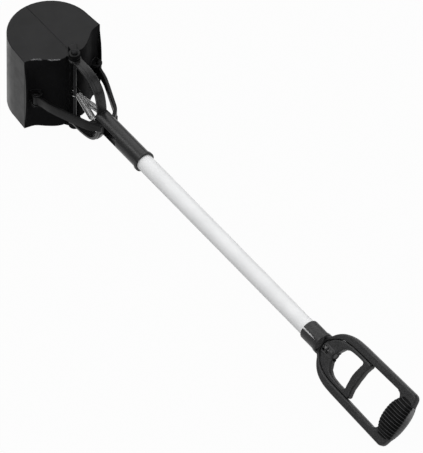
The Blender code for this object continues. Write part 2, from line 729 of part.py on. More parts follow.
def hook(neck):
    """Half of a spring's path past its last curl, in the spring's own frame."""
    made = []
    for i in range(1, BEND_POINTS + 1):
        t = math.pi / 2 * i / BEND_POINTS
        made.append((HOOK_BEND * (1 - math.cos(t)), SPRING_RADIUS, HOOK_BEND * math.sin(t)))
    radius = math.hypot(SPRING_RADIUS, HOOK_BEND)
    lean = math.atan2(HOOK_BEND, SPRING_RADIUS)
    centre = HOOK_BEND + neck
    for i in range(HOOK_POINTS + 1):
        t = HOOK_SWEEP * i / HOOK_POINTS
        along = centre + radius * math.sin(t)
        away = radius * math.cos(t)
        made.append((along, away * math.cos(lean), away * math.sin(lean)))
    last = Vector(made[-1])
    heading = Vector((math.cos(t), -math.sin(t) * math.cos(lean), -math.sin(t) * math.sin(lean)))
    made.append(tuple(last + heading * SPRING_WIRE))
    return [Vector(p) for p in made], radius, lean


def spring_path(side):
    """Points along one spring: the hook on the hinge pin, the curls, then the hook in the wishbone's web."""
    level = -side * SPRING_LEVEL
    anchor = Vector((SPRING_ANCHOR_PLACE, side * SPRING_ANCHOR_OFFSET, level))
    start = Vector((0, 0, level))
    along = (anchor - start).normalized()
    across = Vector((-along.y, along.x, 0))
    pin_hook, pin_radius, lean = hook(PIN_HOOK_NECK)
    yoke_hook, yoke_radius, _ = hook(YOKE_HOOK_NECK)
    slack = pin_radius - SPRING_WIRE / 2 - PIN_DIAMETER / 2 - SEAT_GAP
    first = HOOK_BEND + PIN_HOOK_NECK + slack
    last = (anchor - start).length - yoke_radius - YOKE_HOOK_NECK - HOOK_BEND
    turns = SPRING_CURLS + (math.pi / 2 + 2 * lean) / math.tau
    start_angle = -lean

    def placed(distance, radial, tangential, angle):
        y = radial * math.cos(angle) - tangential * math.sin(angle)
        z = radial * math.sin(angle) + tangential * math.cos(angle)
        return start + along * distance + across * y + Vector((0, 0, 1)) * z

    end_angle = start_angle + turns * math.tau - 2 * lean
    begin = start_angle + 2 * lean
    points = [placed(first - p.x, p.y, -p.z, begin) for p in reversed(pin_hook)]
    count = round((end_angle - begin) / math.tau * CURL_POINTS)
    for i in range(count + 1):
        share = i / count
        angle = begin + (end_angle - begin) * share
        points.append(placed(first + (last - first) * share, SPRING_RADIUS, 0, angle))
    points += [placed(last + p.x, p.y, p.z, end_angle) for p in yoke_hook]
    return points


def least_gap(points):
    """The least free space between the wire and another turn of itself."""
    skip = CURL_POINTS - 2
    pairs = ((a - b).length for i, a in enumerate(points) for b in points[i + skip:])
    return min(pairs) - SPRING_WIRE


def spring(side):
    """One unbroken wire: hook, curls and hook."""
    points = spring_path(side)
    print("least gap in the spring, mm:", round(least_gap(points) * 1000, 2))
    curve = bpy.data.curves.new("spring", "CURVE")
    curve.dimensions = "3D"
    curve.bevel_depth = SPRING_WIRE / 2
    curve.bevel_resolution = 1
    curve.use_fill_caps = True
    line = curve.splines.new("POLY")
    line.points.add(len(points) - 1)
    for made, point in zip(line.points, points):
        made.co = (*point, 1)
    holder = bpy.data.objects.new("spring", curve)
    bpy.context.scene.collection.objects.link(holder)
    bpy.context.view_layer.update()
    mesh = bpy.data.meshes.new_from_object(holder.evaluated_get(bpy.context.evaluated_depsgraph_get()))
    made = bpy.data.objects.new("spring", mesh)
    bpy.context.scene.collection.objects.link(made)
    bpy.data.objects.remove(holder)
    return made


# Handle

def shoulder(shares, half_width):
    return curve_through([(FRAME_FRONT + a * SHOULDER_LENGTH, half_width * b) for a, b in shares])


def flared(place, half_width):
    """Half the handle's width where the rails spread towards the grip."""
    return half_width + FRAME_FLARE * (place - FRAME_SHOULDER) / (GRIP_OUTER_PLACE - FRAME_SHOULDER)


def bowed(place, half_width, bow):
    """Points of an arc across the handle, from one side to its top on the middle line."""
    return [Vector((place + bow * (1 - t * t), half_width * t)) for t in (*BOW_SHARES, 0)]


def palm_place(y):
    """How far back the handle's end reaches at a distance from the middle line."""
    return GRIP_OUTER_PLACE + GRIP_BOW * (1 - (y / FRAME_HALF_WIDTH) ** 2)


def grip_half_length():
    """The sleeve reaches as far as the window's round corners let it."""
    return flared(GRIP_INNER_PLACE, INNER_HALF_WIDTH) - WINDOW_CORNER_RADIUS - GRIP_FIT


def cross_band(front, back, half_length):
    """An outline across the handle, straight in front and bowed like the handle's end at the back."""
    steps = [-1, *(-t for t in BOW_SHARES), 0, *reversed(BOW_SHARES), 1]
    ends = [Vector((palm_place(half_length * t) + back, half_length * t)) for t in steps]
    if front is None:
        far = GRIP_OUTER_PLACE + GRIP_BOW + OVERRUN
        return list(reversed(ends)) + [Vector((far, -half_length)), Vector((far, half_length))]
    return [Vector((front, -half_length))] + ends + [Vector((front, half_length))]


def handle_frame():
    """The D-shaped frame with the socket that takes the pole."""
    back = GRIP_OUTER_PLACE - FRAME_CORNER_RADIUS * 2
    end = bowed(GRIP_OUTER_PLACE, FRAME_HALF_WIDTH - FRAME_CORNER_RADIUS / 2, GRIP_BOW)
    outer = [Vector((FRAME_FRONT, 0))] + shoulder(OUTER_SHOULDER_SHARES, FRAME_HALF_WIDTH)
    outer += rounded([
        (back, flared(back, FRAME_HALF_WIDTH), 0),
        (GRIP_OUTER_PLACE, flared(GRIP_OUTER_PLACE, FRAME_HALF_WIDTH), FRAME_CORNER_RADIUS), (*end[0], 0),
    ], closed=False) + end[1:]
    half = FRAME_THICKNESS / 2
    frame = prism(mirrored(outer), -half, half, FRAME_EDGE, 2)
    recess = cross_band(None, -GRIP_WALL, grip_half_length() + GRIP_FIT)
    seat = prism(recess, -FRAME_THICKNESS, FRAME_THICKNESS)

    socket = SOCKET_DIAMETER / 2
    collar = SOCKET_COLLAR_DIAMETER / 2
    collar_end = FRAME_FRONT + SOCKET_COLLAR_LENGTH
    barrel = bar([
        (SOCKET_FRONT, socket), (FRAME_FRONT, socket), (FRAME_FRONT, collar), (collar_end, collar),
        (WINDOW_FRONT + SOCKET_COLLAR_LENGTH, half),
    ], ROUND_SIDES)
    frame = join(cut(frame, seat), barrel)

    window = [Vector((WINDOW_FRONT, 0))] + shoulder(INNER_SHOULDER_SHARES, INNER_HALF_WIDTH)
    width = flared(GRIP_INNER_PLACE, INNER_HALF_WIDTH)
    window += rounded([
        (GRIP_INNER_PLACE - WINDOW_CORNER_RADIUS * 2, width, 0),
        (GRIP_INNER_PLACE, width, WINDOW_CORNER_RADIUS), (GRIP_INNER_PLACE, 0, 0),
    ], closed=False)
    opening = prism(mirrored(window), -half, half, -FRAME_EDGE, 2)
    tube_bore = shaft(SOCKET_FRONT - OVERRUN, SOCKET_FLOOR, TUBE_RADIUS + TUBE_FIT, ROUND_SIDES)
    rod_end = WINDOW_FRONT + SOCKET_COLLAR_LENGTH * 2
    rod_bore = shaft(SOCKET_FLOOR - OVERRUN, rod_end, ROD_RADIUS + ROD_FIT * 2)
    slot_half = SOCKET_SLOT_WIDTH / 2
    slot = prism([
        Vector((x, y)) for x, y in (
            (SOCKET_FRONT - OVERRUN, -slot_half), (SOCKET_FLOOR - SOCKET_SLOT_WIDTH, -slot_half),
            (SOCKET_FLOOR - SOCKET_SLOT_WIDTH, slot_half), (SOCKET_FRONT - OVERRUN, slot_half),
        )
    ], 0, SOCKET_DIAMETER)
    rivet_bore = upright(HANDLE_RIVET_PLACE, 0, -SOCKET_DIAMETER, 0, RIVET_DIAMETER / 2 + SEAT_GAP)
    return cut(frame, opening, tube_bore, rod_bore, slot, rivet_bore)


def grip_sleeve():
    """The ribbed grip moulded round the frame's cross bar, flush with its corners."""
    half_length = grip_half_length()
    stations = GRIP_RIBS * 4
    rings = []
    for i in range(stations + 1):
        share = 2 * i / stations - 1
        y = half_length * share
        valley = (1 - math.cos(math.tau * i / 4)) / 2
        depth = GRIP_RIB_DEPTH * (valley if 2 <= i <= stations - 2 else 1 / 2)
        front = GRIP_INNER_PLACE - GRIP_WALL - GRIP_FRONT_BOW * (1 - share**2)
        half_x = (palm_place(y) - front) / 2
        half_z = GRIP_THICKNESS / 2 * (1 - GRIP_TAPER_SHARE * share**2)
        row = []
        for k in range(GRIP_SIDES):
            t = math.tau * k / GRIP_SIDES
            square = abs(math.cos(t)) ** GRIP_SQUARENESS + abs(math.sin(t)) ** GRIP_SQUARENESS
            bulge = square ** (-1 / GRIP_SQUARENESS)
            inset = depth if math.cos(t) < GRIP_PALM_SHARE else 0.0
            x = front + half_x + (half_x - inset) * bulge * math.cos(t)
            row.append((x, y, (half_z - inset) * bulge * math.sin(t)))
        rings.append(list(reversed(row)))
    sleeve = solid("grip", lambda shape: skin(shape, rings))
    core = cross_band(GRIP_INNER_PLACE - GRIP_FIT, GRIP_FIT - GRIP_WALL, half_length + GRIP_WALL)
    half = FRAME_THICKNESS / 2 + GRIP_FIT
    return cut(sleeve, prism(core, -half, half))


def trigger():
    """The stirrup that slides inside the frame, with the hub that holds the pull rod's end."""
    outside = INNER_HALF_WIDTH - TRIGGER_GAP
    inside = outside - TRIGGER_ARM
    corner = inside * TRIGGER_CORNER_SHARE
    gap = TRIGGER_GAP / math.cos(math.pi / 4)
    nose = WINDOW_FRONT + TRIGGER_GAP
    edge = [Vector((p.x + gap, p.y)) for p in shoulder(INNER_SHOULDER_SHARES, outside)]
    edge = [p for p in edge if p.x < TRIGGER_BAR_FRONT - TRIGGER_BAR_WIDTH]
    outline = [Vector((nose, 0)), Vector((nose, edge[0].y * HUB_NOSE_SHARE))] + edge
    end = bowed(TRIGGER_BAR_END, outside, -TRIGGER_BAR_BOW)
    outline += rounded([
        (TRIGGER_BAR_FRONT, outside, 0), (TRIGGER_BAR_END, outside, corner), (*end[0], 0),
    ], closed=False) + end[1:]
    thick = TRIGGER_THICKNESS / 2
    frame = prism(mirrored(outline), -thick, thick, TRIGGER_EDGE, 2)

    hub_half = TRIGGER_HUB_THICKNESS / 2
    small = hub_half * HUB_NOSE_SHARE
    hub = bar([
        (nose + TRIGGER_GAP, small), (nose + TRIGGER_EDGE, hub_half),
        (TRIGGER_HUB_END - TRIGGER_EDGE, hub_half), (TRIGGER_HUB_END, small),
    ], ROUND_SIDES)
    start = TRIGGER_HUB_END + TRIGGER_EDGE
    mouth = [(start + TRIGGER_ARM * a, inside * b) for a, b in TRIGGER_MOUTH_SHARES]
    window = [Vector((start, 0)), Vector((start, TRIGGER_HUB_HALF_WIDTH * HUB_NOSE_SHARE))]
    window += curve_through(mouth + [(FRAME_SHOULDER, inside)])
    across = bowed(TRIGGER_BAR_FRONT, inside, -TRIGGER_BAR_BOW)
    window += rounded([
        (TRIGGER_BAR_FRONT - corner * 3, inside, 0), (TRIGGER_BAR_FRONT, inside, corner), (*across[0], 0),
    ], closed=False) + across[1:]
    opening = prism(mirrored(window), -thick, thick, -TRIGGER_EDGE, 2)
    frame = join(cut(frame, opening), hub)

    rod_bore = shaft(nose - OVERRUN, TRIGGER_HUB_END + OVERRUN, ROD_RADIUS + ROD_FIT)
    pocket_depth = NUT_THICKNESS + WASHER_THICKNESS + SEAT_GAP * 3
    pocket_radius = WASHER_DIAMETER / 2 + NUT_POCKET_CLEARANCE
    pocket = shaft(TRIGGER_HUB_END - pocket_depth, TRIGGER_HUB_END + OVERRUN, pocket_radius)
    length = TRIGGER_HUB_END - nose
    half = HUB_WINDOW_WIDTH / 2
    windows = []
    for a, b in HUB_WINDOW_SHARES:
        low, high = nose + a * length, nose + b * length
        corners = ((low, -half), (high, -half), (high, half), (low, half))
        windows.append(prism([Vector(c) for c in corners], 0, hub_half + OVERRUN))
    return cut(frame, rod_bore, pocket, *windows)


def rod_washer():
    end = TRIGGER_HUB_END - NUT_THICKNESS - SEAT_GAP * 2
    start = end - WASHER_THICKNESS
    inner, outer = ROD_RADIUS + ROD_FIT, WASHER_DIAMETER / 2
    return turned([(start, inner), (start, outer), (end, outer), (end, inner)], SMALL_SIDES)


def rod_nut():
    """A hexagon nut in the trigger's end pocket."""
    end = TRIGGER_HUB_END - SEAT_GAP
    start = end - NUT_THICKNESS
    nut = shaft(start, end, NUT_WIDTH / 2 / math.cos(math.pi / 6), sides=6)
    return cut(nut, shaft(start - OVERRUN, end + OVERRUN, ROD_RADIUS + ROD_FIT))


# Assembly

def empty(name, location, parent=None):
    made = bpy.data.objects.new(name, None)
    bpy.context.scene.collection.objects.link(made)
    made.location = location
    made.parent = parent
    return made


def lay_down(root, low_points):
    """Turns the tool about Y until its head and its handle both touch the floor, then centres it there."""
    (ax, az), (bx, bz) = low_points
    lean = math.atan2(bz - az, bx - ax)
    root.rotation_euler = (0, lean, 0)
    bpy.context.view_layer.update()
    corners = [
        item.matrix_world @ vertex.co
        for item in bpy.context.scene.objects if item.type == "MESH"
        for vertex in item.data.vertices
    ]
    low = Vector([min(c[i] for c in corners) for i in range(3)])
    high = Vector([max(c[i] for c in corners) for i in range(3)])
    root.location = (-(low.x + high.x) / 2, -(low.y + high.y) / 2, -low.z)
    bpy.context.view_layer.update()
    print("lean, degrees:", round(math.degrees(lean), 4))
    print("hinge axis point, m:", tuple(round(v, 6) for v in root.matrix_world.translation))


def lowest(items):
    """The lowest point of some pieces, as its place along the pole and its height."""
    places = [item.matrix_world @ vertex.co for item in items for vertex in item.data.vertices]
    least = min(places, key=lambda p: p.z)
    return least.x, least.z


def main():
    for item in list(bpy.data.objects):
        bpy.data.objects.remove(item)
    plastic = material("black plastic", BLACK_PLASTIC, 0.38)
    grip = material("black grip", BLACK_PLASTIC, 0.6)
    tube_white = material("white tube", WHITE_TUBE, 0.3)
    bare_steel = material("bare steel", STEEL, 0.3, 1.0)

    root = empty("lying", (0, 0, 0))
    hinge = empty("hinge_axis", (0, 0, 0), root)
    slide = empty("slide_axis", (YOKE_HUB_FRONT, 0, 0), root)
    pole = empty("pole_axis", (0, 0, 0), root)

    up = Matrix.Translation((0, 0, POLE_DROP))
    finished(moved(jaw(-POLE_DROP), up), "jaw_right", plastic, hinge)
    finished(moved(jaw(POLE_DROP), up @ OVER), "jaw_left", plastic, hinge)

    finished(head_fork(), "head_fork", plastic, pole)
    pin = finished(moved(hinge_pin(), up), "hinge_pin", bare_steel, pole)
    low = -RAISED_EAR_TOP - SEAT_GAP - RETAINER_THICKNESS
    retainer = ring(low, RETAINER_THICKNESS, RETAINER_DIAMETER / 2, PIN_BORE_RADIUS)
    finished(moved(retainer, up), "hinge_retainer", bare_steel, pole)
    finished(pole_tube(), "pole_tube", tube_white, pole)
    finished(rivet(HEAD_RIVET_PLACE, SLEEVE_DIAMETER / 2), "head_rivet", bare_steel, pole)
    finished(rod_guide(FRONT_BUSH_PLACE), "rod_guide_front", plastic, pole)
    finished(rod_guide(REAR_BUSH_PLACE), "rod_guide_rear", plastic, pole)

    finished(drive_yoke(), "drive_yoke", plastic, slide)
    for side, word in ((1, "right"), (-1, "left")):
        finished(link_pin(side), f"link_pin_{word}", bare_steel, slide)
        clip = ring(-LUG_TOP - SEAT_GAP - LINK_HEAD_HEIGHT, LINK_HEAD_HEIGHT, LINK_HEAD_DIAMETER / 2,
                    LINK_PIN_DIAMETER / 2 + SEAT_GAP)
        place = Matrix.Translation((-LINK_PIN_SETBACK, side * LINK_PIN_REACH, 0))
        finished(moved(clip, place), f"link_clip_{word}", bare_steel, slide)
        finished(spring(side), f"spring_{word}", bare_steel, pole)

    pin_place = YOKE_HUB_FRONT + YOKE_HUB_LENGTH / 2
    rod = shaft(YOKE_HUB_FRONT + SEAT_GAP, TRIGGER_HUB_END, ROD_RADIUS)
    bore = ROD_PIN_DIAMETER / 2 + SEAT_GAP
    rod = cut(rod, upright(pin_place, 0, -ROD_DIAMETER, ROD_DIAMETER, bore))
    finished(rod, "pull_rod", bare_steel, slide)
    pin_half = YOKE_HALF_HEIGHT - SEAT_GAP
    cross = upright(pin_place, 0, -pin_half, pin_half, ROD_PIN_DIAMETER / 2)
    finished(cross, "rod_pin", bare_steel, slide)

    frame = finished(moved(handle_frame(), HANDLE_TURN), "handle_frame", plastic, pole)
    sleeve = finished(moved(grip_sleeve(), HANDLE_TURN), "grip_sleeve", grip, pole)
    handle_rivet = moved(rivet(HANDLE_RIVET_PLACE, SOCKET_DIAMETER / 2), HANDLE_TURN)
    finished(handle_rivet, "handle_rivet", bare_steel, pole)
    finished(moved(trigger(), HANDLE_TURN), "trigger", plastic, slide)
    finished(moved(rod_washer(), HANDLE_TURN), "rod_washer", bare_steel, slide)
    finished(moved(rod_nut(), HANDLE_TURN), "rod_nut", bare_steel, slide)

    bpy.context.view_layer.update()
    lay_down(root, [lowest([pin]), lowest([frame, sleeve])])


main()
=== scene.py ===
import json
import math

import bmesh
import bpy
from mathutils import Matrix, Vector


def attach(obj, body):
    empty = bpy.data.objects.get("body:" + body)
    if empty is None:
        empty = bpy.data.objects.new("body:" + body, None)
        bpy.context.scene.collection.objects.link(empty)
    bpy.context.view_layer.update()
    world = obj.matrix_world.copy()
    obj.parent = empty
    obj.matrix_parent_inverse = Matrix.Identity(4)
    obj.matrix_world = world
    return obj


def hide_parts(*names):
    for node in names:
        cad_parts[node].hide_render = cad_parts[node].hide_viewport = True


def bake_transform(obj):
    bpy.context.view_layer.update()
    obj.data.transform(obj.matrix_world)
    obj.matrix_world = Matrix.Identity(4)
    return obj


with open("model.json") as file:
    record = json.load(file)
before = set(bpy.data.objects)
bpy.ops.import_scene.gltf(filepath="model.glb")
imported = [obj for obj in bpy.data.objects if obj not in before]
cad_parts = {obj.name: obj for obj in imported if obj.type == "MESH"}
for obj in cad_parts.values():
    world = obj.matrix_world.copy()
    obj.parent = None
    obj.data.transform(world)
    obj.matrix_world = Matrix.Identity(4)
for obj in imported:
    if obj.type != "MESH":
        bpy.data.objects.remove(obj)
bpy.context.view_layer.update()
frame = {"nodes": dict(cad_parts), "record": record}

# The tool's own frame: +X along the pole, Y across the jaws, Z along the hinge pin, origin on that pin
LEAN = math.radians(2.812801)
HINGE_POINT = Vector((-0.335088, 0.0, 0.072959))
PLACE = Matrix.Translation(HINGE_POINT) @ Matrix.Rotation(LEAN, 4, "Y")
HANDLE_ROLL = math.radians(45)
HANDLE_PLACE = PLACE @ Matrix.Rotation(HANDLE_ROLL, 4, "X")

# Sizes that the solids have too, in metres
SPRING_RADIUS = 0.00435
SPRING_WIRE = 0.0013
SPRING_CURLS = 24
SPRING_LEVEL = 0.0056
SPRING_ANCHOR = (0.0705, 0.0148)
HOOK_BEND = 0.0018
HOOK_SWEEP = math.radians(200)
PIN_HOOK_NECK = 0.0125
YOKE_HOOK_NECK = 0.0026
PIN_RADIUS = 0.003
SEAT_GAP = 0.0003
FRAME_HALF_WIDTH = 0.0425
FRAME_THICKNESS = 0.012
GRIP_HALF_LENGTH = 0.02846
GRIP_INNER_PLACE = 0.764
GRIP_OUTER_PLACE = 0.786
GRIP_BOW = 0.0085
GRIP_THICKNESS = 0.029
GRIP_WALL = 0.0035
GRIP_FRONT_BOW = 0.006
GRIP_SQUARENESS = 2.6
GRIP_FIT = 0.0004
HUB_WINDOW_HALF_WIDTH = 0.0045
SOCKET_SLOT_HALF_WIDTH = 0.00175
SOCKET_SLOT_END = 0.5955

# Where the dressed pieces differ from the solids, in metres, shares and counts
GRIP_RIBS = 12
GRIP_RIB_DEPTH = 0.0005
GRIP_PALM_EASE_SHARE = 0.7
GRIP_PALM_START_SHARE = 0.5
GRIP_PALM_BLEND_SHARE = 0.3
GRIP_TAPER_SHARE = 0.42
GRIP_END_SETBACK = 0.0026
GRIP_END_ROUND = 0.0012
GRIP_END_INSET = 0.0006
GRIP_CORNER_REACH = 0.0036
GRIP_CORNER_RISE = 0.0012
WINDOW_CORNER_PLACE = 0.7632
WINDOW_CORNER_RADIUS = 0.0100
WINDOW_CORNER_RAIL = 0.0319
WINDOW_CORNER_BURIED = 0.002
WINDOW_CORNER_SINK = 0.0006
SEAM_REACH = 0.0004
SEAM_GAP_SHARE = 0.06
TRIGGER_HUB_REACH = 0.014
TRIGGER_SHIFT = 0.0010
TRIGGER_WIDTH_SHARE = 1.022
HUB_WINDOW_UNDERCUTS = ((0.610508, 0.0032), (0.618803, 0.0026))
SOCKET_SLOT_GAIN = 0.0026
SOCKET_SLOT_WIDTH_SHARE = 0.82
THREAD_START = (PLACE @ Vector((0.6245, 0.0, 0.0))).x
THREAD_RISE = 0.0006
THREAD_TURN_PER_METRE = 6283.0

# Where the jaws' plastic is dull, ahead of the hinge, and where glints are painted on its upper rear
# edge, across and above the floor
DULL_REACHES = (0.026, 0.018)
PAINTED_GLINT_RIGHT_FADE = (-0.012, -0.018)
PAINTED_GLINT_LEFT_FADE = (-0.056, -0.054)
PAINTED_GLINT_LEVELS = (0.120, 0.124)
PAINTED_GLINT_START = 0.0497
PAINTED_GLINT_TURN_PER_METRE = 140.9

# Fineness of the meshes
CURL_POINTS = 20
WIRE_SIDES = 10
HOOK_BEND_STEPS = 6
HOOK_STEPS = 22
GRIP_SIDES = 72
GRIP_STEPS = 14
CORNER_STEPS = 8
CORE_STEPS = 6
SMOOTH_ANGLE = math.radians(47)
SLEEVE_SMOOTH_ANGLE = math.radians(50)
WIRE_SMOOTH_ANGLE = math.radians(60)
FLAT_ANGLE = math.radians(0.6)
SOLID_WELD = 2e-6
POINT_WELD = 1e-6
MATCH = 0.0001

# Colours that aren't a material's own tone
SCUFF = (0.09, 0.09, 0.092, 1.0)
# Painted highlight for the grip's palm side
PAINTED_PALM_SHEEN = (0.42, 0.42, 0.425, 1.0)
COAT_TONES = ((0.80, 0.805, 0.81, 1.0), (0.86, 0.865, 0.87, 1.0))
SOILING = (0.55, 0.55, 0.54, 1.0)
DARK_THREAD = (0.035, 0.035, 0.036, 1.0)
FLOOR_TONES = ((0.29, 0.29, 0.29, 1.0), (0.33, 0.33, 0.33, 1.0))
WHITE = (1.0, 1.0, 1.0, 1.0)

# Stage
FLOOR_HALF_WIDTH = 60.0
FLOOR_GLOW_SHARE = 0.97
# Each glow of the sky has its direction, where it starts and peaks, and its least and most strength
SKY_GLOWS = (
    ((0.0, -0.49, 0.87), -0.4, 1.0, 0.12, 0.50),
    ((-0.62, 0.42, 0.66), 0.76, 0.98, 0.0, 1.5),
    ((0.72, 0.40, 0.56), 0.88, 0.97, 0.0, 1.1),
)
# Each lamp has its name, direction, strength and width in degrees
KEY_LAMP = ("key", (-0.30, -0.42, 0.86), 0.98, 35.0)
FILL_LAMP = ("fill", (0.25, -0.75, 0.60), 0.2, 50.0)
# The camera's directions and places in the tool's own frame
CAMERA_RIGHT = (0.4132, 0.5776, 0.0)
CAMERA_BACK = (0.558, -0.404, 0.725)
CAMERA_ROLL = math.radians(0.2)
CAMERA_AIM = (0.3318, 0.0, 0.00675)
CAMERA_SHIFT_RIGHT = 0.0009
CAMERA_SHIFT_DOWN = 0.0003
CAMERA_LENS = 1400.0
CAMERA_SENSOR = 36.0
PICTURE_HEIGHT = 0.6368


# Materials

class Nodes:
    """Short ways to add and join shader nodes in one material or world."""

    def __init__(self, owner):
        owner.use_nodes = True
        self.tree = owner.node_tree
        self.tree.nodes.clear()

    def add(self, kind, settings=None, **inputs):
        node = self.tree.nodes.new(kind)
        for name, value in (settings or {}).items():
            setattr(node, name, value)
        for name, value in inputs.items():
            numbered = name[0] == "i" and name[1:].isdigit()
            socket = node.inputs[int(name[1:]) if numbered else name.replace("_", " ")]
            if isinstance(value, bpy.types.NodeSocket):
                self.tree.links.new(value, socket)
            else:
                socket.default_value = value
        return node

    def math(self, operation, a, b=0.0):
        return self.add("ShaderNodeMath", {"operation": operation}, i0=a, i1=b).outputs[0]

    def times(self, a, b):
        return self.math("MULTIPLY", a, b)

    def plus(self, a, b):
        return self.math("ADD", a, b)

    def larger(self, a, b):
        return self.math("MAXIMUM", a, b)

    def noise(self, where, scale, detail=3.0, roughness=0.5):
        return self.add("ShaderNodeTexNoise", Vector=where, Scale=scale, Detail=detail,
                        Roughness=roughness).outputs[0]

    def stretched(self, where, scales):
        return self.add("ShaderNodeMapping", Vector=where, Scale=scales).outputs[0]

    def ramp(self, value, low, high, to_low=0.0, to_high=1.0):
        """From to_low to to_high, eased, while the value goes from low to high."""
        return self.add("ShaderNodeMapRange", {"interpolation_type": "SMOOTHSTEP"}, Value=value,
                        From_Min=low, From_Max=high, To_Min=to_low, To_Max=to_high).outputs[0]

    def mix(self, share, one, other):
        node = self.add("ShaderNodeMix", {"data_type": "RGBA"}, i0=share, i6=one, i7=other)
        return node.outputs[2]

    def place(self):
        return self.add("ShaderNodeTexCoord").outputs["Object"]

    def towards(self, vector, direction):
        return self.vectors("DOT_PRODUCT", vector, direction).outputs["Value"]

    def vectors(self, operation, a, b):
        return self.add("ShaderNodeVectorMath", {"operation": operation}, i0=a, i1=b)

    def parts(self, vector):
        return self.add("ShaderNodeSeparateXYZ", Vector=vector).outputs

    def rearward(self):
        """1 on upright walls that face the handle or lie close to the hinge, else 0."""
        coords = self.add("ShaderNodeTexCoord").outputs
        facing = self.parts(coords["Normal"])
        upright = self.ramp(self.math("ABSOLUTE", facing[2]), 0.5, 0.2)
        far, near = (HINGE_POINT.x - reach for reach in DULL_REACHES)
        close = self.ramp(self.parts(coords["Object"])[0], far, near)
        return self.larger(self.ramp(facing[0], 0.12, 0.55), self.times(upright, close))

    def along_grip(self):
        """0 at the grip's left end, 1 at its right end."""
        across = HANDLE_PLACE.to_3x3() @ Vector((0.0, 1.0, 0.0))
        start = HINGE_POINT - across * GRIP_HALF_LENGTH
        away = self.vectors("SUBTRACT", self.place(), start).outputs[0]
        return self.times(self.towards(away, across), 0.5 / GRIP_HALF_LENGTH)

    def crests(self, along):
        """1 on the crests of the grip's ribs."""
        turns = self.times(along, math.pi * GRIP_RIBS)
        return self.ramp(self.math("ABSOLUTE", self.math("SINE", turns)), 0.34, 0.04)

    def painted_glint_spots(self, eased):
        """1 in two spots on the jaws' upper edge, where it looks to the handle: where a glint is painted.
        """
        kind = {"vector_type": "NORMAL", "convert_from": "WORLD", "convert_to": "OBJECT"}
        turned = self.add("ShaderNodeVectorTransform", kind, Vector=eased).outputs[0]
        facing = self.parts(turned)
        where = self.parts(self.place())
        turns = self.times(self.plus(where[1], PAINTED_GLINT_START), PAINTED_GLINT_TURN_PER_METRE)
        lobes = self.math("ABSOLUTE", self.math("COSINE", turns))
        reach = self.times(self.ramp(where[1], *PAINTED_GLINT_RIGHT_FADE), self.ramp(where[1], *PAINTED_GLINT_LEFT_FADE))
        spots = self.times(self.ramp(lobes, 0.3, 0.75), reach)
        high = self.ramp(where[2], *PAINTED_GLINT_LEVELS)
        both = self.times(self.ramp(facing[0], 0.12, 0.35), self.ramp(facing[2], 0.12, 0.35))
        return self.times(self.times(both, high), spots)

    def edges(self, size):
        """How far the surface turns within a small distance, and the eased normal."""
        eased = self.add("ShaderNodeBevel", {"samples": 6}, Radius=size).outputs[0]
        flat = self.add("ShaderNodeNewGeometry").outputs["Normal"]
        return self.ramp(self.towards(eased, flat), 0.98, 0.72), eased

    def bump(self, height, strength, distance, normal=None):
        node = self.add("ShaderNodeBump", Height=height, Strength=strength, Distance=distance)
        if normal is not None:
            self.tree.links.new(normal, node.inputs["Normal"])
        return node.outputs[0]

    def surface(self, normal, colour, roughness, **constants):
        shader = self.add("ShaderNodeBsdfPrincipled", Normal=normal, Base_Color=colour,
                          Roughness=roughness, **constants)
        self.add("ShaderNodeOutputMaterial", Surface=shader.outputs[0])


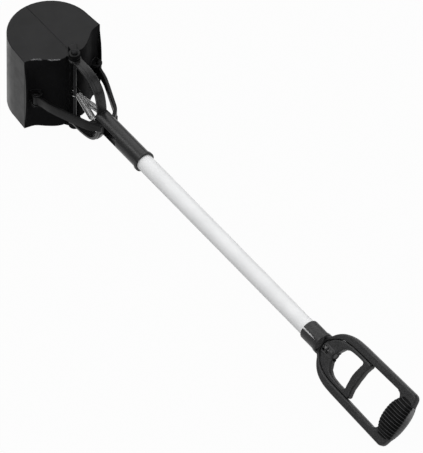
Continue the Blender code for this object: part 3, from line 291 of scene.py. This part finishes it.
def moulded(name, tone, gloss, grain, grain_size, wear_and_highlight_share=0.35, edge=0.0006, shine=0.2, wear_and_highlight_tone=0.13,
            dull_rear_and_painted_glints=False, ribbed=False, mottled=0.0):
    """Injection-moulded black plastic: fine grain, flow marks, scuffs and paler edge wear; if asked,
    painted glints on the jaws' upper rear edge, rib crests painted paler as wear and painted highlight,
    and a painted highlight on the grip's palm side.
    """
    made = bpy.data.materials.new(name)
    n = Nodes(made)
    where = n.place()
    flow = n.noise(where, 14.0, 4.0, 0.6)
    cloud = n.noise(where, 55.0, 5.0, 0.6)
    scratches = n.noise(n.stretched(where, (60.0, 900.0, 260.0)), 1.0, 5.0, 0.65)
    marks = n.ramp(scratches, 0.64, 0.74)
    turned, eased = n.edges(edge)
    wear_and_highlight_mask = n.times(turned, n.ramp(cloud, 0.42, 0.62))
    if dull_rear_and_painted_glints:
        # Painted highlight: pale glint spots on the jaws' upper rear edge, in two lobes
        rim, over = n.edges(0.0034)
        broken = n.ramp(cloud, 0.25, 0.5, 0.6, 1.0)
        painted_glint = n.times(n.times(rim, n.painted_glint_spots(over)), broken)
        wear_and_highlight_mask = n.larger(n.times(wear_and_highlight_mask, 0.25), painted_glint)
    if ribbed:
        # Rib crests painted paler: partly wear, partly painted highlight
        along = n.along_grip()
        crest_wear_and_highlight = n.times(n.crests(along), n.ramp(cloud, 0.25, 0.6, 0.45, 1.0))
        wear_and_highlight_mask = n.larger(wear_and_highlight_mask, crest_wear_and_highlight)
    dark = tuple(c * 0.82 for c in tone) + (1.0,)
    light = tuple(c * 1.2 + 0.0015 for c in tone) + (1.0,)
    colour = n.mix(n.ramp(flow, 0.35, 0.65), dark, light)
    if mottled:
        spots = n.ramp(n.noise(where, 560.0, 2.0, 0.6), 0.42, 0.62)
        colour = n.mix(n.times(spots, mottled), colour, tuple(c * 3.0 for c in tone) + (1.0,))
    colour = n.mix(n.times(marks, 0.22), colour, SCUFF)
    # Edges painted paler: edge wear, plus painted highlight where the glints and crests join in
    colour = n.mix(n.times(wear_and_highlight_mask, wear_and_highlight_share), colour, (wear_and_highlight_tone, wear_and_highlight_tone, wear_and_highlight_tone * 1.03, 1.0))
    rough = n.ramp(cloud, 0.3, 0.7, gloss - 0.045, gloss + 0.055)
    rough = n.plus(rough, n.times(marks, 0.12))
    fine = n.noise(where, grain_size, 2.0, 0.5)
    normal = n.bump(flow, 0.25, 0.0006, eased)
    normal = n.bump(fine, grain, 0.00012, normal)
    if dull_rear_and_painted_glints:
        matt = n.rearward()
        shine = n.ramp(matt, 0.0, 1.0, shine, shine * 0.25)
        rough = n.plus(rough, n.times(matt, 0.4))
    if ribbed:
        # Painted highlight: the grip's palm side, more so towards its right end, is painted paler, and
        # made shinier and smoother
        facing = n.parts(n.add("ShaderNodeTexCoord").outputs["Normal"])
        palm = n.ramp(facing[0], 0.88, 0.99)
        palm_sheen_share = n.times(palm, n.ramp(along, 0.5, 1.05, 0.0, 0.6))
        colour = n.mix(palm_sheen_share, colour, PAINTED_PALM_SHEEN)
        shine = n.ramp(palm, 0.0, 1.0, shine, 0.5)
        rough = n.math("SUBTRACT", rough, n.times(palm, 0.12))
    n.surface(normal, colour, rough, Specular_IOR_Level=shine)
    return made


def coated_tube(name):
    """White coated tube: faint orange peel, fine handling marks along it and a trace of soiling."""
    made = bpy.data.materials.new(name)
    n = Nodes(made)
    where = n.place()
    peel = n.noise(where, 420.0, 2.0, 0.5)
    cloud = n.noise(where, 18.0, 5.0, 0.65)
    lines = n.noise(n.stretched(where, (16.0, 700.0, 700.0)), 1.0, 4.0, 0.6)
    marks = n.ramp(lines, 0.6, 0.72)
    colour = n.mix(n.ramp(cloud, 0.35, 0.7), *COAT_TONES)
    colour = n.mix(n.times(marks, 0.16), colour, SOILING)
    rough = n.ramp(cloud, 0.3, 0.7, 0.24, 0.36)
    rough = n.plus(rough, n.times(marks, 0.15))
    normal = n.bump(peel, 0.12, 0.0001)
    n.surface(normal, colour, rough, Specular_IOR_Level=0.12)
    return made


def drawn_steel(name, tone, gloss, dull=0.3, thread=None, metal=1.0):
    """Drawn steel: fine lines along it, duller and tarnished patches, and if asked a dark thread."""
    made = bpy.data.materials.new(name)
    n = Nodes(made)
    where = n.place()
    lines = n.noise(n.stretched(where, (300.0, 2400.0, 2400.0)), 1.0, 3.0, 0.6)
    cloud = n.noise(where, 160.0, 5.0, 0.65)
    bright = tuple(tone) + (1.0,)
    tarnished = tuple(c * 0.6 for c in tone[:2]) + (tone[2] * 0.56, 1.0)
    colour = n.mix(n.times(n.ramp(cloud, 0.45, 0.72), dull), bright, tarnished)
    rough = n.ramp(lines, 0.3, 0.7, gloss - 0.06, gloss + 0.08)
    normal = n.bump(lines, 0.15, 0.00005)
    if thread is not None:
        along = n.parts(where)[0]
        cut = n.ramp(along, thread, thread + THREAD_RISE)
        colour = n.mix(cut, colour, DARK_THREAD)
        turns = n.math("SINE", n.times(along, THREAD_TURN_PER_METRE))
        normal = n.bump(n.times(turns, cut), 0.5, 0.0003, normal)
    n.surface(normal, colour, rough, Metallic=metal)
    return made


# The jaws' pale edge tone paints their glints as well as their edge wear
JAW_PLASTIC = moulded("jaw plastic", (0.0065, 0.0065, 0.0070), 0.36, 0.18, 1500.0,
                      wear_and_highlight_share=0.9, edge=0.0011, shine=0.15, wear_and_highlight_tone=0.75, dull_rear_and_painted_glints=True)
# The fork and the yoke are drawn as a lighter and a darker copy of the black plastic that their slot
# names: painted light on the fork, painted shade on the yoke
LIT_FORK_PLASTIC = moulded("fork plastic", (0.0100, 0.0100, 0.0104), 0.27, 0.22, 1400.0,
                       wear_and_highlight_share=0.5, edge=0.0008, shine=0.29, mottled=0.55)
SHADED_YOKE_PLASTIC = moulded("yoke plastic", (0.0042, 0.0042, 0.0045), 0.34, 0.22, 1400.0,
                       wear_and_highlight_share=0.4, edge=0.0008, shine=0.12, mottled=0.4)
HANDLE_PLASTIC = moulded("handle plastic", (0.0150, 0.0150, 0.0155), 0.38, 0.55, 800.0,
                         wear_and_highlight_share=0.4, edge=0.0010, shine=0.26, mottled=0.6)
GRIP_PLASTIC = moulded("grip plastic", (0.0026, 0.0026, 0.0028), 0.42, 0.30, 1300.0,
                       wear_and_highlight_share=0.9, edge=0.0007, shine=0.05, wear_and_highlight_tone=0.085, ribbed=True)
BUSH_PLASTIC = moulded("bush plastic", (0.045, 0.045, 0.045), 0.5, 0.2, 1200.0)
TUBE_COAT = coated_tube("white coat")
SPRING_STEEL = drawn_steel("spring wire", (0.42, 0.42, 0.42), 0.22)
PIN_STEEL = drawn_steel("blackened pin steel", (0.018, 0.018, 0.019), 0.45, 0.5)
ROD_STEEL = drawn_steel("bright rod steel", (0.92, 0.92, 0.92), 0.40, 0.1, thread=THREAD_START, metal=0.4)

LOOKS = {
    "head_plastic": JAW_PLASTIC, "handle_plastic": HANDLE_PLASTIC, "grip_plastic": GRIP_PLASTIC,
    "bush_plastic": BUSH_PLASTIC, "white_tube": TUBE_COAT, "pin_steel": PIN_STEEL,
    "spring_steel": SPRING_STEEL, "rod_steel": ROD_STEEL,
}
LOOK_OF = {"head_fork": LIT_FORK_PLASTIC, "drive_yoke": SHADED_YOKE_PLASTIC}
SLOT_OF = {row["node"]: row["material_slot"] for row in frame["record"]["subparts"]}
BODY_OF = {node: body for body, nodes in frame["record"]["behaviour"]["bodies"].items() for node in nodes}


# Pieces

def made_of(name, points, faces, place=Matrix.Identity(4)):
    mesh = bpy.data.meshes.new(name)
    mesh.from_pydata([tuple(place @ Vector(p)) for p in points], [], faces)
    shape = bmesh.new()
    shape.from_mesh(mesh)
    bmesh.ops.remove_doubles(shape, verts=shape.verts, dist=POINT_WELD)
    bmesh.ops.recalc_face_normals(shape, faces=shape.faces)
    shape.to_mesh(mesh)
    shape.free()
    made = bpy.data.objects.new(name, mesh)
    bpy.context.scene.collection.objects.link(made)
    return made


def dressed(item, nodes, slot_name, body=None):
    """Gives a piece the material that its slot names, hides the named solids that it is drawn in place
    of, and hangs it on a body if one is given.
    """
    item.data.materials.clear()
    item.data.materials.append(LOOK_OF.get(nodes[0], LOOKS[slot_name]))
    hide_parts(*nodes)
    if body:
        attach(item, body)
    return item


def fitted(node, point):
    """Draws the jaws' seam, the trigger's slit, the hub's windows and the socket's slot as they look."""
    if node in ("jaw_right", "jaw_left") and abs(point.y) < SEAM_REACH:
        return Vector((point.x, point.y * SEAM_GAP_SHARE, point.z))
    x, y, z = HANDLE_PLACE.inverted() @ point
    if node == "trigger":
        if abs(y) > TRIGGER_HUB_REACH:
            return HANDLE_PLACE @ Vector((x - TRIGGER_SHIFT, y * TRIGGER_WIDTH_SHARE, z))
        for front, undercut in HUB_WINDOW_UNDERCUTS:
            across = abs(y) < HUB_WINDOW_HALF_WIDTH + MATCH and -MATCH < z < HUB_WINDOW_HALF_WIDTH
            if abs(x - front) < MATCH and across:
                return HANDLE_PLACE @ Vector((x - undercut, y, z))
    if node == "handle_frame" and z > 0:
        if abs(y) < SOCKET_SLOT_HALF_WIDTH + MATCH and x < SOCKET_SLOT_END + MATCH:
            gain = SOCKET_SLOT_GAIN if x > SOCKET_SLOT_END - MATCH else 0.0
            return HANDLE_PLACE @ Vector((x + gain, y * SOCKET_SLOT_WIDTH_SHARE, z))
    return point


def window_corners(shape):
    """Adds the broad rounds that lead the frame's rails into the grip."""
    half = FRAME_THICKNESS * 0.5 - WINDOW_CORNER_SINK
    behind = WINDOW_CORNER_PLACE + WINDOW_CORNER_BURIED
    beside = WINDOW_CORNER_RAIL + WINDOW_CORNER_BURIED
    outline = []
    for i in range(CORNER_STEPS + 1):
        t = math.pi * 0.5 * i / CORNER_STEPS
        outline.append((WINDOW_CORNER_PLACE - WINDOW_CORNER_RADIUS * (1 - math.sin(t)),
                        WINDOW_CORNER_RAIL - WINDOW_CORNER_RADIUS * (1 - math.cos(t))))
    outline += [(behind, outline[-1][1]), (behind, beside), (outline[0][0], beside)]
    count = len(outline)
    for side in (1, -1):
        low, high = ([shape.verts.new(HANDLE_PLACE @ Vector((x, side * y, z))) for x, y in outline]
                     for z in (-half, half))
        made = [shape.faces.new(low), shape.faces.new(high)]
        for i in range(count):
            after = (i + 1) % count
            made.append(shape.faces.new((low[i], low[after], high[after], high[i])))
        bmesh.ops.recalc_face_normals(shape, faces=made)


def eased_copy(node):
    """The solid again with its flats joined up and its rounds shaded smooth."""
    source = frame["nodes"][node].data
    mesh = bpy.data.meshes.new(node + "_part")
    mesh.from_pydata([v.co[:] for v in source.vertices], [], [p.vertices[:] for p in source.polygons])
    shape = bmesh.new()
    shape.from_mesh(mesh)
    bmesh.ops.remove_doubles(shape, verts=shape.verts, dist=SOLID_WELD)
    bmesh.ops.dissolve_limit(shape, angle_limit=FLAT_ANGLE, verts=shape.verts, edges=shape.edges)
    for v in shape.verts:
        v.co = fitted(node, v.co)
    if node == "handle_frame":
        window_corners(shape)
    shape.to_mesh(mesh)
    shape.free()
    mesh.shade_smooth()
    mesh.set_sharp_from_angle(angle=SMOOTH_ANGLE)
    made = bpy.data.objects.new(node + "_part", mesh)
    bpy.context.scene.collection.objects.link(made)
    weighted = made.modifiers.new("weighted", "WEIGHTED_NORMAL")
    weighted.keep_sharp = True
    return dressed(made, [node], SLOT_OF[node], BODY_OF[node])


def rings_to_skin(rings):
    """All points of the rows, and the faces that join the rows and close both ends."""
    count = len(rings[0])
    points = [p for ring in rings for p in ring]
    faces = []
    for start in range(0, len(points) - count, count):
        for i in range(count):
            here, after = start + i, start + (i + 1) % count
            faces.append((here, after, after + count, here + count))
    faces.append(tuple(reversed(range(count))))
    faces.append(tuple(range(len(points) - count, len(points))))
    return points, faces


def hook(neck):
    """One hook's path past the last curl, in the spring's own frame, with its radius and lean."""
    made = []
    for i in range(1, HOOK_BEND_STEPS + 1):
        t = math.pi * 0.5 * i / HOOK_BEND_STEPS
        made.append((HOOK_BEND * (1 - math.cos(t)), SPRING_RADIUS, HOOK_BEND * math.sin(t)))
    radius = math.hypot(SPRING_RADIUS, HOOK_BEND)
    lean = math.atan2(HOOK_BEND, SPRING_RADIUS)
    centre = HOOK_BEND + neck
    for i in range(HOOK_STEPS + 1):
        t = HOOK_SWEEP * i / HOOK_STEPS
        away = radius * math.cos(t)
        made.append((centre + radius * math.sin(t), away * math.cos(lean), away * math.sin(lean)))
    back = -math.sin(HOOK_SWEEP)
    heading = Vector((math.cos(HOOK_SWEEP), back * math.cos(lean), back * math.sin(lean)))
    made.append(tuple(Vector(made[-1]) + heading * SPRING_WIRE))
    return [Vector(p) for p in made], radius, lean


def spring_route(side):
    """The wire's centre line from the hinge pin's hook to the wishbone's, and both hooks' seats."""
    level = -side * SPRING_LEVEL
    anchor = Vector((SPRING_ANCHOR[0], side * SPRING_ANCHOR[1], level))
    start = Vector((0, 0, level))
    along = (anchor - start).normalized()
    across = Vector((-along.y, along.x, 0))
    pin_hook, pin_radius, lean = hook(PIN_HOOK_NECK)
    yoke_hook, yoke_radius, _ = hook(YOKE_HOOK_NECK)
    slack = pin_radius - SPRING_WIRE * 0.5 - PIN_RADIUS - SEAT_GAP
    first = HOOK_BEND + PIN_HOOK_NECK + slack
    last = (anchor - start).length - yoke_radius - YOKE_HOOK_NECK - HOOK_BEND
    begin = lean
    end = SPRING_CURLS * math.tau + math.pi * 0.5 - lean

    def placed(distance, radial, tangential, angle):
        y = radial * math.cos(angle) - tangential * math.sin(angle)
        z = radial * math.sin(angle) + tangential * math.cos(angle)
        return start + along * distance + across * y + Vector((0, 0, 1)) * z

    route = [placed(first - p.x, p.y, -p.z, begin) for p in reversed(pin_hook)]
    count = round((end - begin) / math.tau * CURL_POINTS)
    for i in range(count + 1):
        share = i / count
        distance = first + (last - first) * share
        route.append(placed(distance, SPRING_RADIUS, 0, begin + (end - begin) * share))
    route += [placed(last + p.x, p.y, p.z, end) for p in yoke_hook]
    return route, start, anchor


def wire(name, route, radius, sides):
    """A round wire along a route, turned as little as possible from point to point."""
    rings = []
    side = None
    for i, here in enumerate(route):
        before, after = route[max(i - 1, 0)], route[min(i + 1, len(route) - 1)]
        along = (after - before).normalized()
        if side is None:
            side = along.orthogonal().normalized()
        side = (side - along * side.dot(along)).normalized()
        other = along.cross(side)
        turns = [math.tau * k / sides for k in range(sides)]
        rings.append([here + (side * math.cos(t) + other * math.sin(t)) * radius for t in turns])
    points, faces = rings_to_skin(rings)
    return made_of(name, points, faces, PLACE)


def spring(side, word):
    route, start, anchor = spring_route(side)
    made = wire(f"spring_{word}_wire", route, SPRING_WIRE * 0.5, WIRE_SIDES)
    made.data.shade_smooth()
    made.data.set_sharp_from_angle(angle=WIRE_SMOOTH_ANGLE)
    dressed(made, [f"spring_{word}"], "spring_steel")
    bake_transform(made)


def palm_place(y):
    """How far back the handle's end reaches at a distance from the middle line."""
    return GRIP_OUTER_PLACE + GRIP_BOW * (1 - (y / FRAME_HALF_WIDTH) ** 2)


def grip_ring(y, end):
    """The sleeve's outline at a distance from the middle line."""
    low = FRAME_THICKNESS * 0.5 + GRIP_FIT + GRIP_CORNER_RISE
    pitch = 2 * GRIP_HALF_LENGTH / GRIP_RIBS
    share = min(1.0, abs(y) / GRIP_HALF_LENGTH)
    past = max(0.0, abs(y) - GRIP_HALF_LENGTH) / GRIP_CORNER_REACH
    depth = GRIP_RIB_DEPTH * abs(math.sin(math.pi * (y + GRIP_HALF_LENGTH) / pitch))
    end_ease = min(1.0, (end - abs(y)) / GRIP_END_ROUND)
    depth += GRIP_END_INSET * (1 - math.sqrt(max(0.0, 1 - (1 - end_ease) ** 2)))
    front = GRIP_INNER_PLACE - GRIP_WALL - GRIP_FRONT_BOW * (1 - share**2)
    front += GRIP_END_SETBACK * share**4
    half_x = (palm_place(y) - front) * 0.5
    half_z = GRIP_THICKNESS * 0.5 * (1 - GRIP_TAPER_SHARE * share**3)
    half_z = low + (half_z - low) * math.sqrt(max(0.0, 1 - past**2))
    ring = []
    for k in range(GRIP_SIDES):
        t = math.tau * k / GRIP_SIDES
        square = abs(math.cos(t)) ** GRIP_SQUARENESS + abs(math.sin(t)) ** GRIP_SQUARENESS
        bulge = square ** (-1 / GRIP_SQUARENESS)
        palm = min(1.0, max(0.0, (math.cos(t) - GRIP_PALM_START_SHARE) / GRIP_PALM_BLEND_SHARE))
        inset = depth * (1 - GRIP_PALM_EASE_SHARE * palm)
        x = front + half_x + (half_x - inset) * bulge * math.cos(t)
        ring.append((x, y, (half_z - inset) * bulge * math.sin(t)))
    return ring


def grip_core(end):
    """The space that the frame's cross bar and corners take up inside the sleeve."""
    half = FRAME_THICKNESS * 0.5 + GRIP_FIT
    inner = GRIP_INNER_PLACE - GRIP_FIT
    ahead = inner - 2 * GRIP_FRONT_BOW
    behind = palm_place(0) + GRIP_FIT
    beyond = end + GRIP_WALL
    outline = [(inner, -GRIP_HALF_LENGTH), (inner, GRIP_HALF_LENGTH), (ahead, GRIP_HALF_LENGTH),
               (ahead, beyond), (behind, beyond), (behind, GRIP_HALF_LENGTH)]
    for i in range(2 * CORE_STEPS + 1):
        y = GRIP_HALF_LENGTH * (1 - i / CORE_STEPS)
        outline.append((palm_place(y) + GRIP_FIT - GRIP_WALL, y))
    outline += [(behind, -GRIP_HALF_LENGTH), (behind, -beyond), (ahead, -beyond),
                (ahead, -GRIP_HALF_LENGTH)]
    points, faces = rings_to_skin([[(x, y, z) for x, y in outline] for z in (-half, half)])
    return made_of("core", points, faces, HANDLE_PLACE)


def grip():
    """The ribbed sleeve, hollow for the frame, with ends that run out over the frame's corners."""
    end = GRIP_HALF_LENGTH + GRIP_CORNER_REACH
    stations = GRIP_RIBS * GRIP_STEPS
    rings = [grip_ring(end * (2 * i / stations - 1), end) for i in range(stations + 1)]
    points, faces = rings_to_skin(rings)
    sleeve = made_of("grip_sleeve_ribbed", points, faces, HANDLE_PLACE)
    core = grip_core(end)
    hollow = sleeve.modifiers.new("hollow", "BOOLEAN")
    hollow.operation = "DIFFERENCE"
    hollow.solver = "EXACT"
    hollow.object = core
    bpy.context.view_layer.update()
    mesh = bpy.data.meshes.new_from_object(sleeve.evaluated_get(bpy.context.evaluated_depsgraph_get()))
    sleeve.modifiers.clear()
    sleeve.data = mesh
    bpy.data.objects.remove(core)
    mesh.shade_smooth()
    mesh.set_sharp_from_angle(angle=SLEEVE_SMOOTH_ANGLE)
    dressed(sleeve, ["grip_sleeve"], "grip_plastic", "frame")


DRAWN_ANEW = ("spring_right", "spring_left", "grip_sleeve")
for word, sign in (("right", 1), ("left", -1)):
    spring(sign, word)
grip()
for node in sorted(frame["nodes"]):
    if node not in DRAWN_ANEW:
        eased_copy(node)


# Floor, light and camera

def floor():
    """A floor that glows pale for the camera and in reflections, and else acts as grey paint."""
    half = FLOOR_HALF_WIDTH
    corners = [(-half, -half, 0), (half, -half, 0), (half, half, 0), (-half, half, 0)]
    made = made_of("floor", corners, [(0, 1, 2, 3)])
    surface = bpy.data.materials.new("pale floor")
    n = Nodes(surface)
    where = n.place()
    cloud = n.noise(where, 6.0, 4.0, 0.6)
    colour = n.mix(cloud, *FLOOR_TONES)
    paint = n.add("ShaderNodeBsdfDiffuse", Color=colour).outputs[0]
    glow = n.add("ShaderNodeEmission", Color=WHITE, Strength=1.0).outputs[0]
    path = n.add("ShaderNodeLightPath").outputs
    mirrored = n.larger(path["Is Glossy Ray"], path["Is Transmission Ray"])
    share = n.times(n.larger(path["Is Camera Ray"], mirrored), FLOOR_GLOW_SHARE)
    both = n.add("ShaderNodeMixShader", i0=share, i1=paint, i2=glow).outputs[0]
    n.add("ShaderNodeOutputMaterial", Surface=both)
    made.data.materials.append(surface)


def sky():
    """Soft pale light from above, with two brighter patches behind the tool, and white for the camera."""
    world = bpy.data.worlds.new("studio")
    bpy.context.scene.world = world
    n = Nodes(world)
    direction = n.add("ShaderNodeTexCoord").outputs["Generated"]
    glow = 0.0
    for source, low, high, least, most in SKY_GLOWS:
        facing = n.towards(direction, Vector(source).normalized())
        glow = n.plus(glow, n.ramp(facing, low, high, least, most))
    seen = n.add("ShaderNodeLightPath").outputs["Is Camera Ray"]
    strength = n.add("ShaderNodeMix", {"data_type": "FLOAT"}, i0=seen, i2=glow, i3=1.0).outputs[0]
    back = n.add("ShaderNodeBackground", Color=WHITE, Strength=strength)
    n.add("ShaderNodeOutputWorld", Surface=back.outputs[0])


def lamp(name, direction, strength, spread):
    data = bpy.data.lights.new(name, "SUN")
    data.energy = strength
    data.angle = math.radians(spread)
    made = bpy.data.objects.new(name, data)
    made.rotation_mode = "QUATERNION"
    made.rotation_quaternion = Vector(direction).to_track_quat("Z", "Y")
    bpy.context.scene.collection.objects.link(made)


def camera():
    """Looks along the photograph's direction from far away through a long lens."""
    right = Vector(CAMERA_RIGHT).normalized()
    back = Vector(CAMERA_BACK).normalized()
    up = back.cross(right).normalized()
    right = up.cross(back).normalized()
    level_right, level_up = right, up
    right = level_right * math.cos(CAMERA_ROLL) + level_up * math.sin(CAMERA_ROLL)
    up = level_up * math.cos(CAMERA_ROLL) - level_right * math.sin(CAMERA_ROLL)
    aim = Vector(CAMERA_AIM) + right * CAMERA_SHIFT_RIGHT - up * CAMERA_SHIFT_DOWN
    distance = CAMERA_LENS * PICTURE_HEIGHT / CAMERA_SENSOR
    data = bpy.data.cameras.new("camera")
    data.lens = CAMERA_LENS
    data.sensor_width = CAMERA_SENSOR
    data.clip_start = 1.0
    data.clip_end = 200.0
    made = bpy.data.objects.new("camera", data)
    bpy.context.scene.collection.objects.link(made)
    turn = Matrix((right, up, back)).transposed().to_4x4()
    made.matrix_world = PLACE @ Matrix.Translation(aim + back * distance) @ turn
    bpy.context.scene.camera = made


floor()
sky()
lamp(*KEY_LAMP)
lamp(*FILL_LAMP)
camera()
bpy.context.scene.view_settings.view_transform = "Standard"
